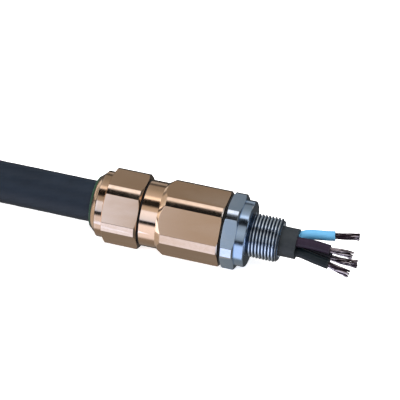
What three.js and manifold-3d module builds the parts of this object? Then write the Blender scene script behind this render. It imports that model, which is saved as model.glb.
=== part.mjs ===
// Barrier-style cable gland for wire-armoured cable, fitted to a short sample of the cable.
// Millimetres, +Z up. +X runs along the gland's axis, from the cable side to the entry thread.
// The gland lies on its hexagon flats at z = 0; the origin is midway along the gland.
import * as THREE from 'three';
import * as BufferGeometryUtils from 'three/addons/utils/BufferGeometryUtils.js';
import Module from 'manifold-3d';

const wasm = await Module();
wasm.setup();

// ---- driving dimensions -------------------------------------------------------------------
const ACROSS_FLATS = 32;      // spanner size of all three hexagons
const CORNER_R = 17.3;        // hexagon corners are turned down to this radius
const AXIS_HEIGHT = ACROSS_FLATS / 2;
const PITCH = 1.5;            // metric fine pitch of every thread
const THREAD_DEPTH = 0.92;    // crest to root of that pitch
const ENTRY_R = 10;           // M20 entry thread
const SEGMENTS = 36;          // sides of a turned circle
const GAP = 0.25;             // clearance between neighbouring pieces

// lengths along the axis, from the outer seal nut's rim to the end of the entry thread
const NOSE = 3.6;             // rounded rear of the nut
const BAND = 3.4;             // turned band between nose and hexagon
const NUT_STEP = 0.7;         // cone from the band to the hexagon's corners
const NUT_LENGTH = 23.6;
const NUT_SEAM = 0.7;         // thin gap that shows the nut's O-ring
const COLLAR = 7.7;           // round collar at the rear of the body
const BODY_CONE = 3;          // turned chamfer from collar to hexagon
const BODY_HEX = 26.2;
const BODY_SEAM = 1.1;        // gap that shows the body's O-ring
const ENTRY_HEX = 6.2;
const FLANGE = 4.3;           // round flange that meets the enclosure wall
const ENTRY_THREAD = 14;
const GLAND_LENGTH = NUT_LENGTH + NUT_SEAM + COLLAR + BODY_CONE + BODY_HEX
  + BODY_SEAM + ENTRY_HEX + FLANGE + ENTRY_THREAD;

// stations on the axis
const RIM = -GLAND_LENGTH / 2;
const NUT_FRONT = RIM + NUT_LENGTH;
const COLLAR_REAR = NUT_FRONT + NUT_SEAM;
const BODY_CONE_REAR = COLLAR_REAR + COLLAR;
const BODY_HEX_REAR = BODY_CONE_REAR + BODY_CONE;
const BODY_FRONT = BODY_HEX_REAR + BODY_HEX;
const ENTRY_HEX_REAR = BODY_FRONT + BODY_SEAM;
const ENTRY_HEX_FRONT = ENTRY_HEX_REAR + ENTRY_HEX;
const SHOULDER = ENTRY_HEX_FRONT + FLANGE;
const ENTRY_END = SHOULDER + ENTRY_THREAD;

// the cable: 4 cores of 4 mm2, bedding, steel wire armour, outer sheath
const SHEATH_R = 9.6;
const SHEATH_HOLE_R = 8.75;
const ARMOUR_R = 8.3;
const ARMOUR_WIRE = 1.05;     // thickness of the armour layer
const BEDDING_R = 6.85;
const CORE_R = 2.25;
const CORE_CIRCLE_R = 3.6;    // from the cable's axis to each core's
const CONDUCTOR_R = 1.45;
const SHEATH_LENGTH = 118;
const SHEATH_FRONT = BODY_FRONT - 20.4;      // the sheath is cut back here, inside the body
const CABLE_END = SHEATH_FRONT - SHEATH_LENGTH;
const BEDDING_FRONT = ENTRY_END + 7.7;       // the bedding shows this far out of the thread

// inside of the nut and body
const COLLAR_R = 15.2;
const NUT_BORE_R = 13.7;
const NUT_THREAD_R = NUT_BORE_R - 0.3;       // the body's rear thread, which the nut turns on
const NOSE_BORE_R = 10.4;
const BODY_REAR = COLLAR_REAR - 14.2;
const SEAL_POCKET_R = 11.6;
const BODY_BORE_R = 9.95;
const CHAMBER_R = 14.1;                      // the body's front bore
const SPIGOT_THREAD_R = CHAMBER_R - 0.3;     // the entry item's rear thread
const SPIGOT_REAR = BODY_FRONT - 9.7;
const CHAMBER_REAR = SPIGOT_REAR - 7.7;
const POCKET_R = 10.6;                       // the entry item's rear pocket
const ENTRY_BORE_R = 7.6;
const POCKET_FRONT = ENTRY_HEX_REAR + 2.5;

// armour cone
const CONE_BORE_R = BEDDING_R + 0.3;
const CONE_TIP_R = 7.55;
const CONE_SLOPE = 0.457;                    // radius gained per millimetre along the axis
const CONE_TIP = SPIGOT_REAR - 8.3;
const CONE_FLANGE = SPIGOT_REAR - 1.3;

// ---- finishes -------------------------------------------------------------------------------
const finish = (color, roughness, metalness) =>
  new THREE.MeshStandardMaterial({ color, roughness, metalness });
const polishedBrass = finish(0xb98f6c, 0.22, 1);
const plainBrass = finish(0xb59a55, 0.4, 1);
const nickel = finish(0xb4c0cc, 0.25, 1);
const steel = finish(0x9a9ea2, 0.45, 1);
const darkRubber = finish(0x1d2422, 0.65, 0);
const blackRubber = finish(0x121315, 0.6, 0);
const nylon = finish(0xd8d4c6, 0.5, 0);
const sheathPlastic = finish(0x1f262e, 0.5, 0);
const beddingPlastic = finish(0x24282b, 0.6, 0);
const copper = finish(0x7a5148, 0.4, 1);

// ---- helpers ----------------------------------------------------------------------------------
// A ring or disc turned about the X axis. The outline is a list of [x, radius], closed on itself.
function turned(outline) {
  const points = outline.map(([x, r]) => new THREE.Vector2(r, x));
  if (THREE.ShapeUtils.isClockWise(points)) points.reverse();
  points.push(points[0].clone());
  const geometry = new THREE.LatheGeometry(points, SEGMENTS);
  geometry.rotateZ(-Math.PI / 2);
  return closedGeometry(geometry);
}

function closedGeometry(geometry) {
  geometry.deleteAttribute('normal');
  geometry.deleteAttribute('uv');
  return BufferGeometryUtils.mergeVertices(geometry, 1e-4);
}

function toSolid(geometry) {
  return new wasm.Manifold(new wasm.Mesh({
    numProp: 3,
    vertProperties: new Float32Array(geometry.attributes.position.array),
    triVerts: new Uint32Array(geometry.index.array),
  }));
}

function toGeometry(solid) {
  const mesh = solid.getMesh();
  const geometry = new THREE.BufferGeometry();
  geometry.setAttribute('position', new THREE.BufferAttribute(mesh.vertProperties, 3));
  geometry.setIndex(new THREE.BufferAttribute(mesh.triVerts, 1));
  return geometry;
}

// A hexagonal bar along X, with flats facing up and down.
function hexBar(rear, front) {
  const outline = new THREE.Shape();
  for (let side = 0; side < 6; side += 1) {
    const angle = (side * Math.PI) / 3;
    const r = ACROSS_FLATS / Math.sqrt(3);
    outline.lineTo(r * Math.cos(angle), r * Math.sin(angle));
  }
  outline.curves.shift();
  const geometry = new THREE.ExtrudeGeometry(outline, { depth: front - rear, bevelEnabled: false });
  geometry.rotateX(Math.PI / 2);
  geometry.rotateZ(Math.PI / 2);
  geometry.translate(rear, 0, 0);
  return closedGeometry(geometry);
}

// A turned piece with hexagon flats milled on it wherever it is wider than the flats.
function turnedWithFlats(outline) {
  const bar = toSolid(hexBar(RIM - 1, ENTRY_END + 1));
  return toGeometry(toSolid(turned(outline)).intersect(bar));
}

// Ridges of an outside thread, from rear to front.
function threadOutline(rear, front, crestR) {
  const turns = Math.floor((front - rear) / PITCH);
  const start = front - turns * PITCH;
  const points = [[start, crestR - THREAD_DEPTH]];
  for (let turn = 0; turn < turns; turn += 1) {
    points.push([start + (turn + 0.5) * PITCH, crestR]);
    points.push([start + (turn + 1) * PITCH, crestR - THREAD_DEPTH]);
  }
  return points;
}

// A path whose steps fall on its own points, straight between them.
class StationPath extends THREE.Curve {
  constructor(points) {
    super();
    this.points = points;
  }

  getPoint(t, target = new THREE.Vector3()) {
    const place = Math.min(Math.max(t, 0), 1) * (this.points.length - 1);
    const index = Math.min(Math.floor(place), this.points.length - 2);
    return target.lerpVectors(this.points[index], this.points[index + 1], place - index);
  }

  getUtoTmapping(u) {
    return u;
  }
}

function circle(r, sides, centre = [0, 0]) {
  const points = [];
  for (let side = 0; side < sides; side += 1) {
    const angle = (2 * Math.PI * side) / sides;
    points.push(new THREE.Vector2(centre[0] + r * Math.cos(angle), centre[1] + r * Math.sin(angle)));
  }
  return points;
}

// A section swept along a list of points, with optional holes in the section.
function swept(points, outer, holes = []) {
  const section = new THREE.Shape(outer);
  holes.forEach((hole) => section.holes.push(new THREE.Path(hole)));
  const geometry = new THREE.ExtrudeGeometry(section, {
    steps: points.length - 1,
    extrudePath: new StationPath(points),
    bevelEnabled: false,
  });
  return closedGeometry(geometry);
}

function straightPath(rear, front, stepLength) {
  const steps = Math.max(1, Math.round((front - rear) / stepLength));
  const points = [];
  for (let step = 0; step <= steps; step += 1) {
    points.push(new THREE.Vector3(rear + ((front - rear) * step) / steps, 0, 0));
  }
  return points;
}

const gland = new THREE.Group();
gland.position.z = AXIS_HEIGHT;
const cable = new THREE.Group();
cable.position.z = AXIS_HEIGHT;

function place(group, name, geometry, material) {
  const mesh = new THREE.Mesh(geometry, material);
  mesh.name = name;
  group.add(mesh);
}

// ---- outer seal nut: rounded nose, turned band, hexagon --------------------------------------
const nutShoulder = BODY_REAR - 1.6;
const mouthFloor = RIM + 5.2;
const MOUTH_R = 11.6;                        // counterbore that holds the nose seal
const nutOutline = [
  [mouthFloor, NOSE_BORE_R],
  [mouthFloor, MOUTH_R],
  [RIM + 1.65, MOUTH_R],
  [RIM + 1.1, 12.15],
  [RIM + 1.15, 12.5],
  [RIM + 2.3, 13.6],
  [RIM + 3.1, 14.3],
  [RIM + NOSE - 0.1, 14.7],
  [RIM + NOSE, COLLAR_R],
  [RIM + NOSE + BAND, COLLAR_R],
  [RIM + NOSE + BAND + NUT_STEP, CORNER_R],
  [NUT_FRONT - 0.9, CORNER_R],
  [NUT_FRONT, 16.3],
  [NUT_FRONT, NUT_BORE_R],
  [nutShoulder, NUT_BORE_R],
  [nutShoulder, NOSE_BORE_R],
];
place(gland, 'outer_seal_nut', turnedWithFlats(nutOutline), polishedBrass);

// ---- nose seal: keeps water out between the nut's mouth and the cable --------------------------
const noseSealOutline = [
  [RIM + 0.15, SHEATH_R + GAP],
  [RIM, 10],
  [RIM, 10.4],
  [RIM + 0.25, 11.2],
  [RIM + 0.8, 12],
  [RIM + 1.35, MOUTH_R - GAP],
  [mouthFloor - GAP, MOUTH_R - GAP],
  [mouthFloor - GAP, SHEATH_R + GAP],
];
place(gland, 'nose_seal', turned(noseSealOutline), darkRubber);

// ---- skid washer: keeps the turning nut from dragging the seal round --------------------------
const skidOutline = [
  [BODY_REAR - 1.3, 10.4],
  [BODY_REAR - 1.3, 13.2],
  [BODY_REAR - 0.3, 13.2],
  [BODY_REAR - 0.3, 10.4],
];
place(gland, 'skid_washer', turned(skidOutline), nylon);

// ---- outer seal: wedge in the body's rear pocket, squeezed onto the sheath by the nut ----------
const pocketFloor = BODY_REAR + 11.6;
const outerSealOutline = [
  [BODY_REAR - 0.1, SHEATH_R + 0.2],
  [BODY_REAR - 0.1, SEAL_POCKET_R - GAP],
  [pocketFloor - 2.6, SEAL_POCKET_R - GAP],
  [pocketFloor - 0.9, SHEATH_R + 0.65],
  [pocketFloor - 0.9, SHEATH_R + 0.2],
];
place(gland, 'outer_seal', turned(outerSealOutline), darkRubber);

// ---- nut O-ring: fills the seam between nut and body -------------------------------------------
const ringOutline = (centreX, centreR, halfX, halfR, points) => circle(1, points)
  .map(({ x, y }) => [centreX + halfX * x, centreR + halfR * y]);
place(gland, 'nut_o_ring',
  turned(ringOutline(COLLAR_REAR - NUT_SEAM / 2, 14.1, 0.3, 0.85, 8)), blackRubber);

// ---- gland body: rear thread, round collar, long hexagon ---------------------------------------
const bodyOutline = [
  [BODY_REAR, SEAL_POCKET_R],
  [BODY_REAR, NUT_THREAD_R - THREAD_DEPTH],
  ...threadOutline(BODY_REAR + 0.4, COLLAR_REAR - 1.2, NUT_THREAD_R),
  [COLLAR_REAR, NUT_THREAD_R - THREAD_DEPTH],
  [COLLAR_REAR, COLLAR_R - 0.35],
  [COLLAR_REAR + 0.35, COLLAR_R],
  [BODY_CONE_REAR, COLLAR_R],
  [BODY_HEX_REAR, CORNER_R],
  [BODY_FRONT - 0.5, CORNER_R],
  [BODY_FRONT, 16.6],
  [BODY_FRONT, CHAMBER_R],
  [CHAMBER_REAR, CHAMBER_R],
  [CHAMBER_REAR, BODY_BORE_R],
  [pocketFloor, BODY_BORE_R],
  [pocketFloor - 2.2, SEAL_POCKET_R],
];
place(gland, 'gland_body', turnedWithFlats(bodyOutline), polishedBrass);

// ---- armour clamping ring: wedges the armour wires onto the cone ---------------------------------
const armourLift = CONE_TIP_R + GAP + ARMOUR_WIRE * 1.12;   // armour's outside over the cone's tip
const clampR = (x) => armourLift + GAP + 0.05 + (x - CONE_TIP) * CONE_SLOPE;
const clampRear = CHAMBER_REAR + 0.3;
const clampFront = SPIGOT_REAR - 1.1;
const clampOutline = [
  [clampRear, clampR(clampRear)],
  [clampRear, CHAMBER_R - 0.9],
  [clampRear + 0.6, CHAMBER_R - 0.35],
  [clampFront, CHAMBER_R - 0.35],
  [clampFront, clampR(clampFront)],
];
place(gland, 'armour_clamping_ring', turned(clampOutline), plainBrass);

// ---- armour cone: the wires fan out over it; its spigot presses the inner seal -----------------------
const spigotTip = POCKET_FRONT - 9.8;
const coneTopR = CONE_TIP_R + (CONE_FLANGE - CONE_TIP) * CONE_SLOPE;
const coneOutline = [
  [CONE_TIP, CONE_BORE_R],
  [CONE_TIP, CONE_TIP_R],
  [CONE_FLANGE, coneTopR],
  [CONE_FLANGE + 0.2, 11.2],
  [SPIGOT_REAR - GAP, 11.2],
  [SPIGOT_REAR - GAP, POCKET_R - 0.3],
  [spigotTip, POCKET_R - 0.3],
  [spigotTip, CONE_BORE_R],
];
place(gland, 'armour_cone', turned(coneOutline), plainBrass);

// ---- inner seal and its washer, in the entry item's pocket ----------------------------------------
const washerOutline = [
  [spigotTip + GAP, CONE_BORE_R + 0.05],
  [spigotTip + GAP, POCKET_R - 0.3],
  [spigotTip + 1.3, POCKET_R - 0.3],
  [spigotTip + 1.3, CONE_BORE_R + 0.05],
];
place(gland, 'inner_seal_washer', turned(washerOutline), nylon);
const innerSealOutline = [
  [spigotTip + 1.5, BEDDING_R + GAP],
  [spigotTip + 1.5, POCKET_R - GAP],
  [POCKET_FRONT - 0.6, POCKET_R - GAP],
  [POCKET_FRONT + 0.7, 7.9],
  [POCKET_FRONT + 0.7, BEDDING_R + GAP],
];
place(gland, 'inner_seal', turned(innerSealOutline), darkRubber);

// ---- body O-ring: the black ring between body and entry item ----------------------------------------
place(gland, 'body_o_ring',
  turned(ringOutline(BODY_FRONT + BODY_SEAM / 2, 14.5, BODY_SEAM / 2 - 0.1, 1.4, 10)), blackRubber);

// ---- entry item: rear thread, hexagon, flange, entry thread ------------------------------------------
const spigotRoot = SPIGOT_THREAD_R - THREAD_DEPTH;
const entryOutline = [
  [SPIGOT_REAR, POCKET_R],
  [SPIGOT_REAR, spigotRoot],
  ...threadOutline(SPIGOT_REAR + 0.2, BODY_FRONT - 0.5, SPIGOT_THREAD_R),
  [ENTRY_HEX_REAR, spigotRoot],
  [ENTRY_HEX_REAR, 16.5],
  [ENTRY_HEX_REAR + 0.5, CORNER_R],
  [ENTRY_HEX_FRONT - 0.6, CORNER_R],
  [ENTRY_HEX_FRONT, 16.2],
  [ENTRY_HEX_FRONT, 15.1],
  [SHOULDER - 0.6, 15.1],
  [SHOULDER, 14.5],
  [SHOULDER, ENTRY_R + 0.5],
  [SHOULDER - 0.25, ENTRY_R + 0.25],
  [SHOULDER - 0.25, ENTRY_R - THREAD_DEPTH],
  ...threadOutline(SHOULDER + 1.3, ENTRY_END - 0.4, ENTRY_R),
  [ENTRY_END, ENTRY_R - THREAD_DEPTH - 0.1],
  [ENTRY_END, ENTRY_BORE_R + 0.5],
  [ENTRY_END - 0.6, ENTRY_BORE_R],
  [POCKET_FRONT + 1.6, ENTRY_BORE_R],
  [POCKET_FRONT, POCKET_R],
];
place(gland, 'entry_item', turnedWithFlats(entryOutline), nickel);

// ---- the cable's layers, from outside in ---------------------------------------------------------------
const sheathPath = straightPath(CABLE_END, SHEATH_FRONT, 2.5 * 2 * SHEATH_R);
place(cable, 'cable_outer_sheath',
  swept(sheathPath, circle(SHEATH_R, 12), [circle(SHEATH_HOLE_R, 12)]), sheathPlastic);

const flareR = (x) => CONE_TIP_R + GAP + (x - CONE_TIP) * CONE_SLOPE;    // armour's inside
const armourFront = CONE_FLANGE - 0.25;
const armourOutline = [
  [CABLE_END, ARMOUR_R - ARMOUR_WIRE],
  [CABLE_END, ARMOUR_R],
  [SHEATH_FRONT + 0.2, ARMOUR_R],
  [CONE_TIP - 0.3, flareR(CONE_TIP) + ARMOUR_WIRE * 1.05],
  [armourFront, flareR(armourFront) + ARMOUR_WIRE * 1.12],
  [armourFront, flareR(armourFront)],
  [CONE_TIP - 0.4, flareR(CONE_TIP)],
  [SHEATH_FRONT + 0.6, ARMOUR_R - ARMOUR_WIRE],
];
place(cable, 'armour_wires', turned(armourOutline), steel);

// Each core leaves the bedding and fans out. Its stations past the bedding are [x beyond the
// bedding's end, upward offset, outward offset], the offsets measured across the view axis that
// leans back LEAN degrees from upright; the insulation ends at station number STRIPPED.
const LEAN = THREE.MathUtils.degToRad(54);
const across = (up, out) => [up * Math.cos(LEAN) - out * Math.sin(LEAN),
  up * Math.sin(LEAN) + out * Math.cos(LEAN)];
const QUAD_TURN = THREE.MathUtils.degToRad(18);   // the four cores are turned by this in the cable
const STRIPPED = 6;
const cores = [
  {
    name: 'blue', color: 0x5aa9dc, quadrant: 0,
    fan: [[1.5, 4.4, -1], [4, 5.3, -1], [8, 5.9, -1.1], [12, 6.4, -1.3],
      [15.2, 7, -1.4], [19, 7.55, -1.5], [23, 8.3, -1.5], [26, 8.8, -1.5]],
  },
  {
    name: 'brown', color: 0x33262c, quadrant: 1,
    fan: [[1.5, 1.1, 3.3], [4, 1.25, 3.2], [8, 1.2, 3], [11.5, 0.9, 2.9],
      [14.6, 0.6, 2.8], [18, 0.5, 2.8], [22, 0.4, 2.7], [25, 0, 2.6]],
  },
  {
    name: 'black', color: 0x171c1e, quadrant: 2,
    fan: [[1.5, -3.4, 1.1], [4, -3.8, 1.3], [8, -4.6, 1.7], [12, -5.3, 2.1],
      [15.2, -5.8, 2.3], [18.5, -6.7, 2.5], [22, -7.5, 2.6], [25, -8.2, 2.7]],
  },
  {
    name: 'grey', color: 0x2c3036, quadrant: 3,
    fan: [[1.5, -1.1, -3.3], [4, -1.2, -3.1], [8, -1.7, -2.6], [12, -2.2, -2.1],
      [15, -2.7, -1.8], [19, -3.2, -1.5], [23.5, -3.3, -1.3], [27.5, -3.3, -1.2]],
  },
];

function corePoints({ quadrant, fan }) {
  const turn = QUAD_TURN - (quadrant * Math.PI) / 2;
  const [y, z] = across(CORE_CIRCLE_R * Math.cos(turn), -CORE_CIRCLE_R * Math.sin(turn));
  const points = [new THREE.Vector3(CABLE_END, y, z), new THREE.Vector3(BEDDING_FRONT + 0.3, y, z)];
  fan.forEach(([along, up, out]) => {
    const [fanY, fanZ] = across(up, out);
    points.push(new THREE.Vector3(BEDDING_FRONT + along, fanY, fanZ));
  });
  return points;
}

const coreLines = cores.map(corePoints);
// swept() lays a section's first coordinate downwards and its second along +Y
const coreHoles = coreLines.map(([first]) => circle(CORE_R + 0.1, 8, [-first.z, first.y]));
const beddingPath = straightPath(CABLE_END, BEDDING_FRONT, 5 * BEDDING_R);
place(cable, 'cable_bedding', swept(beddingPath, circle(BEDDING_R, 12), coreHoles), beddingPlastic);

cores.forEach(({ name, color }, index) => {
  const line = coreLines[index];
  const insulation = line.slice(0, STRIPPED + 1);
  place(cable, `core_${name}`,
    swept(insulation, circle(CORE_R, 8), [circle(CONDUCTOR_R + 0.15, 8)]), finish(color, 0.45, 0));
  place(cable, `conductor_${name}`, swept(line, circle(CONDUCTOR_R, 8)), copper);
});

const assembly = new THREE.Group();
assembly.add(gland, cable);
export default assembly;
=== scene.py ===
# %% [markdown]
# # A cable gland clamped on armoured cable
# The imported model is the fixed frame. Every piece below is a finer copy of one of its nodes:
# the same place and size, but with real threads, eased edges, single wires and worked metal.

# %% Load the frame
import math
import random

import bmesh
import bpy
from mathutils import Matrix, Vector, noise


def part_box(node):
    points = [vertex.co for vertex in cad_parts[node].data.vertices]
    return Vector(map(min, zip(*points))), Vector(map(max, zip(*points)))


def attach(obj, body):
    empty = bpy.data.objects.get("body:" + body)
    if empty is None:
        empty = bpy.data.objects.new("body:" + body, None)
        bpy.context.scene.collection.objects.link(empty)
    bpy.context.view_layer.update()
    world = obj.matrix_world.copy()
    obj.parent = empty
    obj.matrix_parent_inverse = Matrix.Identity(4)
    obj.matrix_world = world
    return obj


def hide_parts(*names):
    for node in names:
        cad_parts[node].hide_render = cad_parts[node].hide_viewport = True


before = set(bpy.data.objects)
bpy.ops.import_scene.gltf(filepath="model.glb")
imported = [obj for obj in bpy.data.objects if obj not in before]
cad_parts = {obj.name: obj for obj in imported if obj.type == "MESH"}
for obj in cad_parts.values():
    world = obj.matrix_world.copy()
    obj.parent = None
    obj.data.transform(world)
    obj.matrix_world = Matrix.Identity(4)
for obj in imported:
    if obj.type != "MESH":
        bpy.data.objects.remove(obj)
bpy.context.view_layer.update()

print("nodes in the frame:", len(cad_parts))

# %% [markdown]
# Turned parts are easiest to draw in millimetres around the X axis, and to move to their place
# at the very end. These values come from the frame, so that the pieces follow the model.

# %% Places read from the frame
MM = 0.001
body_low, body_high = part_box("gland_body")
nut_low, nut_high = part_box("outer_seal_nut")
entry_low, entry_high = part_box("entry_item")
sheath_low, sheath_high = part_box("cable_outer_sheath")
bedding_low, bedding_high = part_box("cable_bedding")

AXIS_Z = (body_low.z + body_high.z) / 2
FLAT_R = AXIS_Z / MM  # from the axis to a hexagon flat
NUT_REAR, NUT_FRONT = nut_low.x / MM, nut_high.x / MM
BODY_REAR, BODY_FRONT = body_low.x / MM, body_high.x / MM
SPIGOT_REAR, ENTRY_END = entry_low.x / MM, entry_high.x / MM
CABLE_END, SHEATH_FRONT = sheath_low.x / MM, sheath_high.x / MM
BEDDING_FRONT = bedding_high.x / MM
SHEATH_R = (sheath_high.z - sheath_low.z) / 2 / MM
BEDDING_R = (bedding_high.z - bedding_low.z) / 2 / MM
print(f"gland from {NUT_REAR:.1f} to {ENTRY_END:.1f} mm, axis {AXIS_Z / MM:.1f} mm up")

# %% [markdown]
# ## Camera
# A long lens from well back keeps the gland's edges nearly parallel. The camera looks from the
# front, a little to the right and from above. A Track To constraint could aim it, but with its
# axes worked out here it can be rolled a few degrees.

# %% Camera
CAMERA_TURN, CAMERA_RISE, CAMERA_ROLL = 13.0, 36.0, 4.1  # degrees
CAMERA_DISTANCE, CAMERA_LIFT = 0.850, 0.01058
LOOK_X = 0.0056
LENS_MM, SENSOR_MM = 170.2, 36.0


def camera_axes(turn, rise, roll):
    """The camera's right, up and backward directions."""
    a, e, r = (math.radians(v) for v in (turn, rise, roll))
    back = Vector((math.sin(a) * math.cos(e), -math.cos(a) * math.cos(e), math.sin(e)))
    level = Vector((math.cos(a), math.sin(a), 0))
    above = back.cross(level)
    right = math.cos(r) * level + math.sin(r) * above
    return right, back.cross(right), back


right, up, back = camera_axes(CAMERA_TURN, CAMERA_RISE, CAMERA_ROLL)
place = Vector((LOOK_X, 0, AXIS_Z)) + back * CAMERA_DISTANCE + up * CAMERA_LIFT
camera_data = bpy.data.cameras.new("camera")
camera_data.lens, camera_data.sensor_width = LENS_MM, SENSOR_MM
camera = bpy.data.objects.new("camera", camera_data)
camera.matrix_world = Matrix.Translation(place) @ Matrix((right, up, back)).transposed().to_4x4()
bpy.context.scene.collection.objects.link(camera)
bpy.context.scene.camera = camera
print("camera at", [round(v, 3) for v in place])

# %% [markdown]
# ## Floor and light
# Polished metal is only as good as what it mirrors. Lamps could stand all round, but a ramp of
# colours round the sky gives long even strips: a bright one overhead, a dimmer wall in front,
# and dark gaps, which draw the dark streaks on every turned surface. A cool card lights the
# nut's front, and the table glows, so that hardly any shadow is seen.

# %% Floor
FLOOR_HALF = 6.0
FLOOR_GLOW = 0.7


def plain_material(name, color, roughness, metallic=0.0):
    """A material with its Principled BSDF, ready for more nodes."""
    made = bpy.data.materials.new(name)
    made.use_nodes = True
    shader = made.node_tree.nodes["Principled BSDF"]
    shader.inputs["Base Color"].default_value = (*color, 1)
    shader.inputs["Roughness"].default_value = roughness
    shader.inputs["Metallic"].default_value = metallic
    return made, made.node_tree, shader


floor_bm = bmesh.new()
bmesh.ops.create_grid(floor_bm, x_segments=1, y_segments=1, size=FLOOR_HALF)
floor_mesh = bpy.data.meshes.new("floor")
floor_bm.to_mesh(floor_mesh)
floor_bm.free()
floor = bpy.data.objects.new("floor", floor_mesh)
floor_material, _, floor_shader = plain_material("lit table", (0.94, 0.935, 0.94), 0.9)
floor_shader.inputs["Emission Color"].default_value = (1, 1, 1, 1)
floor_shader.inputs["Emission Strength"].default_value = FLOOR_GLOW
floor.data.materials.append(floor_material)
bpy.context.scene.collection.objects.link(floor)
floor.visible_glossy = False  # the strips below the horizon stand for the table

# %% Lights
FILL = {"place": (0.2, -0.2, 1.9), "aim": (0, 0, 0), "size": (3.4, 3.4), "watts": 100}
CARD = {"place": (-0.238, -0.42, 0.205), "aim": (-0.238, 0, 0.03), "size": (0.24, 0.3), "watts": 0.17,
        "color": (0.72, 1.05, 1.75)}


def soft_light(name, setup, mirrored):
    """A rectangular area light aimed at a point; polished metal may or may not mirror it."""
    data = bpy.data.lights.new(name, "AREA")
    data.shape, data.energy = "RECTANGLE", setup["watts"]
    data.size, data.size_y = setup["size"]
    data.color = setup.get("color", (1, 1, 1))
    made = bpy.data.objects.new(name, data)
    made.location = setup["place"]
    away = Vector(setup["place"]) - Vector(setup["aim"])
    made.rotation_euler = away.to_track_quat("Z", "Y").to_euler()
    made.visible_glossy = mirrored
    bpy.context.scene.collection.objects.link(made)
    return made


soft_light("overhead fill", FILL, mirrored=False)
soft_light("white card", CARD, mirrored=True)

# %% Strip lights
# (degrees up from the front horizon and over the top, below 0 under the table; red, green, blue)
STRIPS = [
    (-180, 0.07, 0.07, 0.07), (-126, 0.06, 0.06, 0.06), (-114, 0.32, 0.30, 0.28),
    (-70, 0.32, 0.30, 0.28), (-61, 1.1, 1.15, 1.38), (-12, 1.1, 1.15, 1.38),
    (-5, 0.0, 0.0, 0.0), (5, 0.0, 0.0, 0.0), (9, 0.48, 0.46, 0.44), (33, 0.7, 0.67, 0.65),
    (46, 0.6, 0.57, 0.54), (57, 0.48, 0.45, 0.43), (62, 0.01, 0.01, 0.01), (84, 0.01, 0.01, 0.01),
    (88, 1.6, 1.55, 1.6), (95, 1.3, 1.25, 1.25), (100, 0.62, 0.6, 0.6), (120, 0.46, 0.44, 0.41),
    (130, 0.37, 0.36, 0.34), (148, 0.36, 0.34, 0.32), (154, 0.08, 0.08, 0.08),
    (160, 0.10, 0.10, 0.10), (168, 0.5, 0.5, 0.5),
]
# (from this much of a direction's X to this much, strength at the first, at the second)
DARK_SIDE = (0.45, 0.75, 1.0, 0.5)  # past the thread's end the studio is dimmer
BRIGHT_SIDE = (-0.3, -0.7, 1.0, 2.2)  # past the cable's end it is brighter


def build_sky():
    """Strips of light that run along X: a ramp of colours over the angle round that axis."""
    world = bpy.data.worlds.new("studio")
    bpy.context.scene.world = world
    world.use_nodes = True
    tree = world.node_tree
    direction = tree.nodes.new("ShaderNodeTexCoord")
    split = tree.nodes.new("ShaderNodeSeparateXYZ")
    forward = tree.nodes.new("ShaderNodeMath")
    forward.operation = "MULTIPLY"
    forward.inputs[1].default_value = -1
    angle = tree.nodes.new("ShaderNodeMath")
    angle.operation = "ARCTAN2"
    share = tree.nodes.new("ShaderNodeMapRange")
    share.inputs["From Min"].default_value = -math.pi
    share.inputs["From Max"].default_value = math.pi
    ramp = tree.nodes.new("ShaderNodeValToRGB")
    steps = ramp.color_ramp.elements
    while len(steps) < len(STRIPS):
        steps.new(0.5)
    for step, (degrees, *color) in zip(steps, STRIPS):
        step.position = degrees / 360 + 0.5
        step.color = (*color, 1)
    tree.links.new(direction.outputs["Generated"], split.inputs[0])
    tree.links.new(split.outputs["Y"], forward.inputs[0])
    tree.links.new(split.outputs["Z"], angle.inputs[0])
    tree.links.new(forward.outputs[0], angle.inputs[1])
    tree.links.new(angle.outputs[0], share.inputs["Value"])
    tree.links.new(share.outputs[0], ramp.inputs["Fac"])
    tree.links.new(ramp.outputs["Color"], tree.nodes["Background"].inputs["Color"])
    both = tree.nodes.new("ShaderNodeMath")
    both.operation = "MULTIPLY"
    for place, limits in enumerate((DARK_SIDE, BRIGHT_SIDE)):
        side = tree.nodes.new("ShaderNodeMapRange")
        for index, value in enumerate(limits, start=1):
            side.inputs[index].default_value = value
        tree.links.new(split.outputs["X"], side.inputs["Value"])
        tree.links.new(side.outputs[0], both.inputs[place])
    tree.links.new(both.outputs[0], tree.nodes["Background"].inputs["Strength"])


build_sky()
bpy.context.scene.view_settings.view_transform = "Standard"
print("studio ready")

# %% [markdown]
# ## Small tools for materials
# Each node is added by one short call: its inputs are given by name or number, and a socket
# given as a value becomes a link.

# %% Node helpers


def add(tree, kind, inputs=None, **settings):
    """Adds one node, sets its properties, and sets or links its inputs."""
    made = tree.nodes.new(kind)
    for key, value in settings.items():
        setattr(made, key, value)
    for key, value in (inputs or {}).items():
        if isinstance(value, bpy.types.NodeSocket):
            tree.links.new(value, made.inputs[key])
        else:
            made.inputs[key].default_value = value
    return made


def math_node(tree, operation, *values):
    return add(tree, "ShaderNodeMath", dict(enumerate(values)), operation=operation).outputs[0]


def remap(tree, value, low, high, to_low, to_high):
    inputs = {0: value, 1: low, 2: high, 3: to_low, 4: to_high}
    return add(tree, "ShaderNodeMapRange", inputs).outputs[0]


def mix_colors(tree, share, first, second):
    mixer = add(tree, "ShaderNodeMix", {0: share, 6: first, 7: second}, data_type="RGBA")
    return mixer.outputs[2]


def new_group(name, inputs, outputs):
    """An empty node group with named sockets: (name, type, default) in, (name, type) out."""
    tree = bpy.data.node_groups.new(name, "ShaderNodeTree")
    for label, kind, default in inputs:
        socket = tree.interface.new_socket(label, in_out="INPUT", socket_type=kind)
        if default is not None:
            socket.default_value = default
    for label, kind in outputs:
        tree.interface.new_socket(label, in_out="OUTPUT", socket_type=kind)
    return tree, tree.nodes.new("NodeGroupInput"), tree.nodes.new("NodeGroupOutput")


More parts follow.
